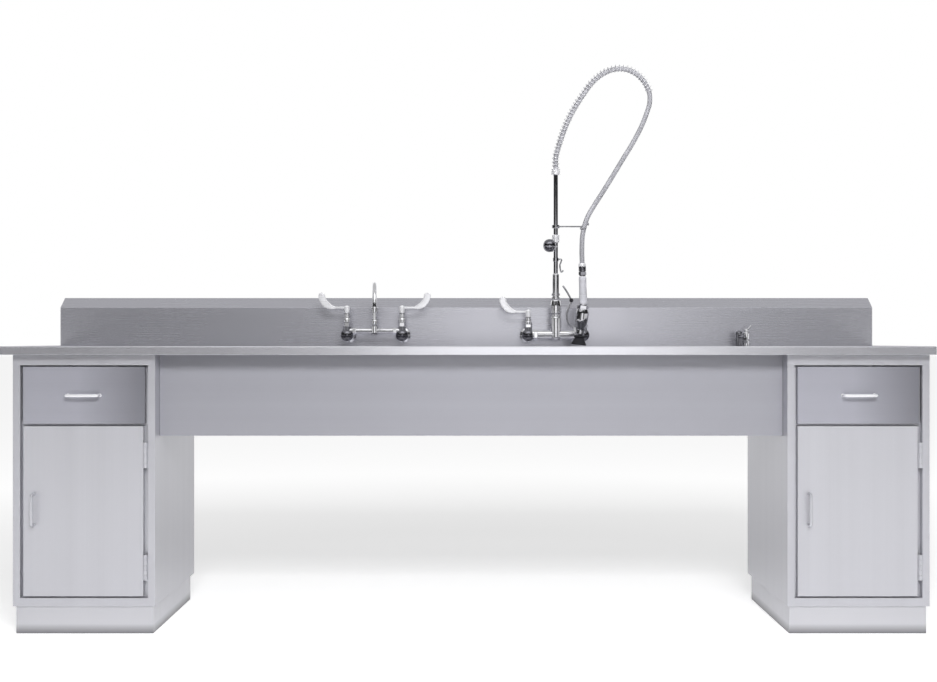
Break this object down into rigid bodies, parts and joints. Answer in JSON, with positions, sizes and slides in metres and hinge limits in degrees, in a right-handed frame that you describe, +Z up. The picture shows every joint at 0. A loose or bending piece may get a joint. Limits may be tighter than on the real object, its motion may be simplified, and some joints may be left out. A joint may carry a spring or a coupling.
{
  "type": "decontamination sink station",
  "caption": "Stainless counter with sink bowls and a splash on drawer-and-door cabinets, with a wrist-blade faucet, a sprung pre-rinse spray and a lever tap.",
  "frame": {"origin": "on the floor, below the middle of the counter", "axes": "+X along the counter to the right, +Y to the wall behind, +Z up"},
  "size_m": [3.048, 0.762, 1.9697],
  "materials": {
    "brushed_steel": "long horizontal brushed grain",
    "satin_steel": "satin, fine vertical grain",
    "bright_steel": "polished",
    "chrome": "mirror polish",
    "braided_hose": "rubber hose under a fine braided steel sheath",
    "grip_rubber": "matte light grey",
    "black_rubber": "matte black"
  },
  "bodies": {
    "station": {"countertop": "brushed_steel", "backsplash": "brushed_steel", "sink_bowl_left": "brushed_steel", "sink_bowl_right": "brushed_steel", "sink_drain_left": "chrome", "sink_drain_right": "chrome", "front_apron": "brushed_steel", "front_rail": "brushed_steel", "rear_rail": "brushed_steel", "left_cabinet": "satin_steel", "left_plinth": "brushed_steel", "left_shelf": "satin_steel", "left_slide_left": "brushed_steel", "left_slide_right": "brushed_steel", "left_hinge_upper_frame_leaf": "bright_steel", "left_hinge_lower_frame_leaf": "bright_steel", "right_cabinet": "satin_steel", "right_plinth": "brushed_steel", "right_shelf": "satin_steel", "right_slide_left": "brushed_steel", "right_slide_right": "brushed_steel", "right_hinge_upper_frame_leaf": "bright_steel", "right_hinge_lower_frame_leaf": "bright_steel", "faucet_body": "chrome", "prerinse_body": "chrome", "prerinse_riser": "chrome", "vacuum_breaker": "chrome", "hose_hook": "chrome", "prerinse_spring": "chrome", "prerinse_hose": "braided_hose", "hose_ferrule": "chrome", "spray_grip": "grip_rubber", "spray_body": "chrome", "spray_nozzle": "black_rubber", "deck_tap_body": "chrome"},
    "left_drawer": {"left_drawer_front": "satin_steel", "left_drawer_box": "satin_steel", "left_drawer_pull": "bright_steel"},
    "right_drawer": {"right_drawer_front": "satin_steel", "right_drawer_box": "satin_steel", "right_drawer_pull": "bright_steel"},
    "left_door": {"left_door_panel": "satin_steel", "left_door_liner": "satin_steel", "left_door_pull": "bright_steel", "left_hinge_upper_door_leaf": "bright_steel", "left_hinge_lower_door_leaf": "bright_steel"},
    "right_door": {"right_door_panel": "satin_steel", "right_door_liner": "satin_steel", "right_door_pull": "bright_steel", "right_hinge_upper_door_leaf": "bright_steel", "right_hinge_lower_door_leaf": "bright_steel"},
    "faucet_hot": {"faucet_hot_handle": "chrome"},
    "faucet_cold": {"faucet_cold_handle": "chrome"},
    "faucet_swing": {"faucet_spout": "chrome"},
    "prerinse_hot": {"prerinse_hot_handle": "chrome"},
    "prerinse_cold": {"prerinse_cold_handle": "chrome"},
    "spray_trigger": {"spray_lever": "chrome"},
    "deck_tap_swing": {"deck_tap_spout": "chrome"},
    "deck_tap_turn": {"deck_tap_lever": "chrome"}
  },
  "joints": [
    {"name": "left_drawer_slide", "type": "slide", "parent": "station", "child": "left_drawer", "axis": [0, -1, 0], "range_m": [0, 0.4]},
    {"name": "right_drawer_slide", "type": "slide", "parent": "station", "child": "right_drawer", "axis": [0, -1, 0], "range_m": [0, 0.4]},
    {"name": "left_door_hinge", "type": "hinge", "parent": "station", "child": "left_door", "pos_m": [-1.04625, -0.346, 0.401], "axis": [0, 0, 1], "range_deg": [0, 110]},
    {"name": "right_door_hinge", "type": "hinge", "parent": "station", "child": "right_door", "pos_m": [1.48275, -0.346, 0.401], "axis": [0, 0, 1], "range_deg": [0, 110]},
    {"name": "faucet_hot_valve", "type": "hinge", "parent": "station", "child": "faucet_hot", "pos_m": [-0.4406, 0.234, 1.0643], "axis": [0, 0, 1], "range_deg": [0, 90]},
    {"name": "faucet_cold_valve", "type": "hinge", "parent": "station", "child": "faucet_cold", "pos_m": [-0.2374, 0.234, 1.0643], "axis": [0, 0, 1], "range_deg": [-90, 0]},
    {"name": "faucet_spout_swivel", "type": "hinge", "parent": "station", "child": "faucet_swing", "pos_m": [-0.339, 0.234, 1.0173], "axis": [0, 0, 1], "range_deg": [-64, 56]},
    {"name": "prerinse_hot_valve", "type": "hinge", "parent": "station", "child": "prerinse_hot", "pos_m": [0.2284, 0.234, 1.0493], "axis": [0, 0, 1], "range_deg": [0, 90]},
    {"name": "prerinse_cold_valve", "type": "hinge", "parent": "station", "child": "prerinse_cold", "pos_m": [0.4316, 0.234, 1.0493], "axis": [0, 0, 1], "range_deg": [0, 90]},
    {"name": "spray_lever_squeeze", "type": "hinge", "parent": "station", "child": "spray_trigger", "pos_m": [0.38754, 0.084, 1.00187], "axis": [0, 1, 0], "range_deg": [0, 9], "stiffness_Nm_per_rad": 2},
    {"name": "deck_tap_spout_swivel", "type": "hinge", "parent": "station", "child": "deck_tap_swing", "pos_m": [1.0102, 0.25, 0.9283], "axis": [0, 0, 1], "range_deg": [-60, 35]},
    {"name": "deck_tap_lever_valve", "type": "hinge", "parent": "station", "child": "deck_tap_turn", "pos_m": [1.0368, 0.25, 0.9906], "axis": [0, 0, 1], "range_deg": [-90, 0]}
  ]
}
